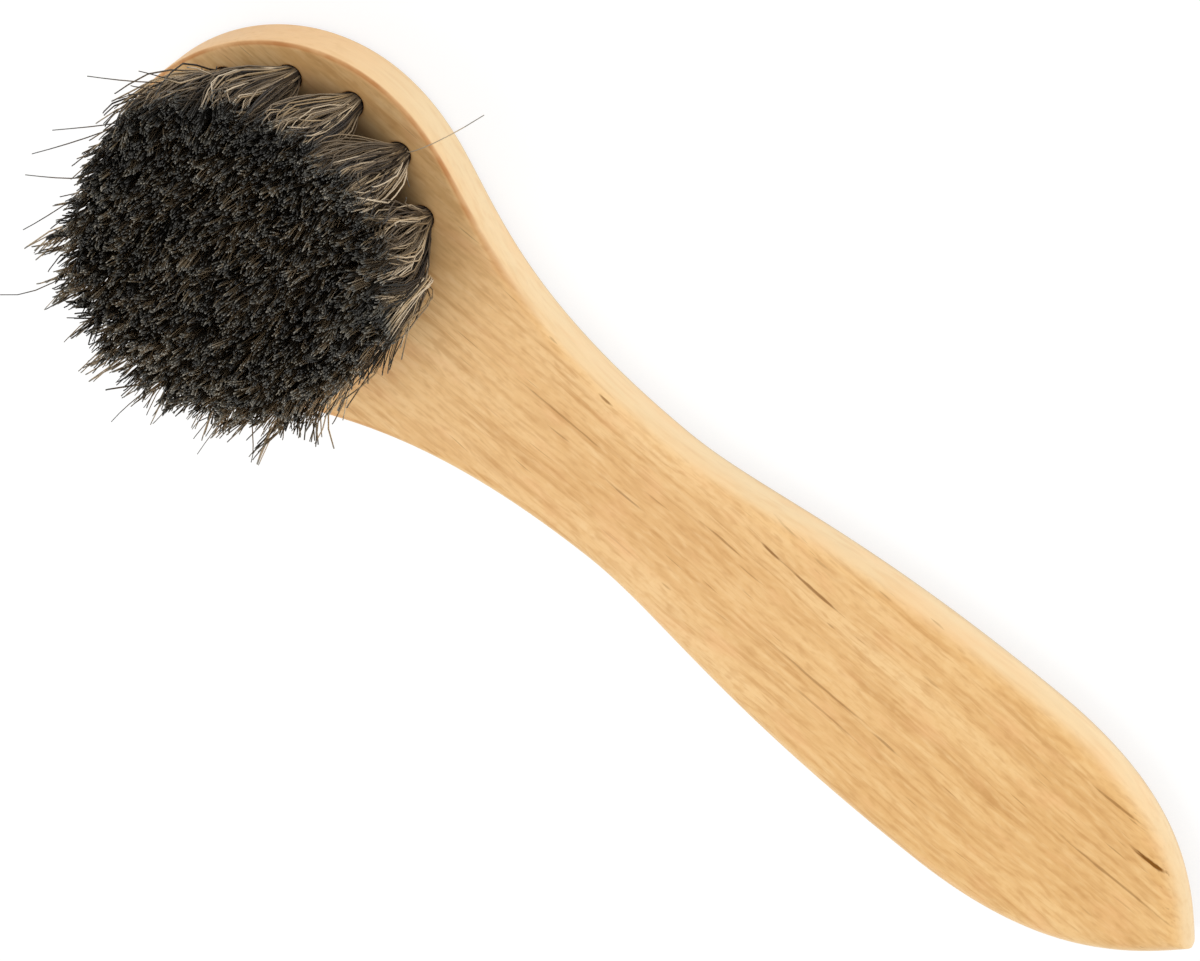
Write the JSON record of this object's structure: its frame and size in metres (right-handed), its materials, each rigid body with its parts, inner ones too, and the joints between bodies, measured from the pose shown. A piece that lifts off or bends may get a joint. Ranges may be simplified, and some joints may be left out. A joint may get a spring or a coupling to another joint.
{
  "type": "shoe polish applicator brush",
  "caption": "Flat wooden handle with a narrow neck, a pointed grip and a round head that carries stapled tufts of dark hair, for putting on and buffing shoe polish.",
  "frame": {"origin": "under the middle of the whole brush, on the surface that its flat back lies on", "axes": "+X along the handle to its pointed tip, +Z the way the bristles point, +Y across the handle"},
  "size_m": [0.1714, 0.0474, 0.027],
  "materials": {
    "beech": "pale beech, finely sanded, with a thin satin lacquer",
    "hair": "dark horsehair, black brown at the trimmed ends and grey brown along the sides",
    "steel_wire": "drawn galvanised wire"
  },
  "bodies": {
    "root": {"handle": "beech", "tuft_outer_01": "hair", "tuft_outer_02": "hair", "tuft_outer_03": "hair", "tuft_outer_04": "hair", "tuft_outer_05": "hair", "tuft_outer_06": "hair", "tuft_outer_07": "hair", "tuft_outer_08": "hair", "tuft_outer_09": "hair", "tuft_outer_10": "hair", "tuft_outer_11": "hair", "tuft_outer_12": "hair", "tuft_outer_13": "hair", "tuft_outer_14": "hair", "tuft_middle_01": "hair", "tuft_middle_02": "hair", "tuft_middle_03": "hair", "tuft_middle_04": "hair", "tuft_middle_05": "hair", "tuft_middle_06": "hair", "tuft_middle_07": "hair", "tuft_middle_08": "hair", "tuft_middle_09": "hair", "tuft_inner_01": "hair", "tuft_inner_02": "hair", "tuft_inner_03": "hair", "tuft_inner_04": "hair", "staple_outer_01": "steel_wire", "staple_outer_02": "steel_wire", "staple_outer_03": "steel_wire", "staple_outer_04": "steel_wire", "staple_outer_05": "steel_wire", "staple_outer_06": "steel_wire", "staple_outer_07": "steel_wire", "staple_outer_08": "steel_wire", "staple_outer_09": "steel_wire", "staple_outer_10": "steel_wire", "staple_outer_11": "steel_wire", "staple_outer_12": "steel_wire", "staple_outer_13": "steel_wire", "staple_outer_14": "steel_wire", "staple_middle_01": "steel_wire", "staple_middle_02": "steel_wire", "staple_middle_03": "steel_wire", "staple_middle_04": "steel_wire", "staple_middle_05": "steel_wire", "staple_middle_06": "steel_wire", "staple_middle_07": "steel_wire", "staple_middle_08": "steel_wire", "staple_middle_09": "steel_wire", "staple_inner_01": "steel_wire", "staple_inner_02": "steel_wire", "staple_inner_03": "steel_wire", "staple_inner_04": "steel_wire"}
  },
  "joints": []
}
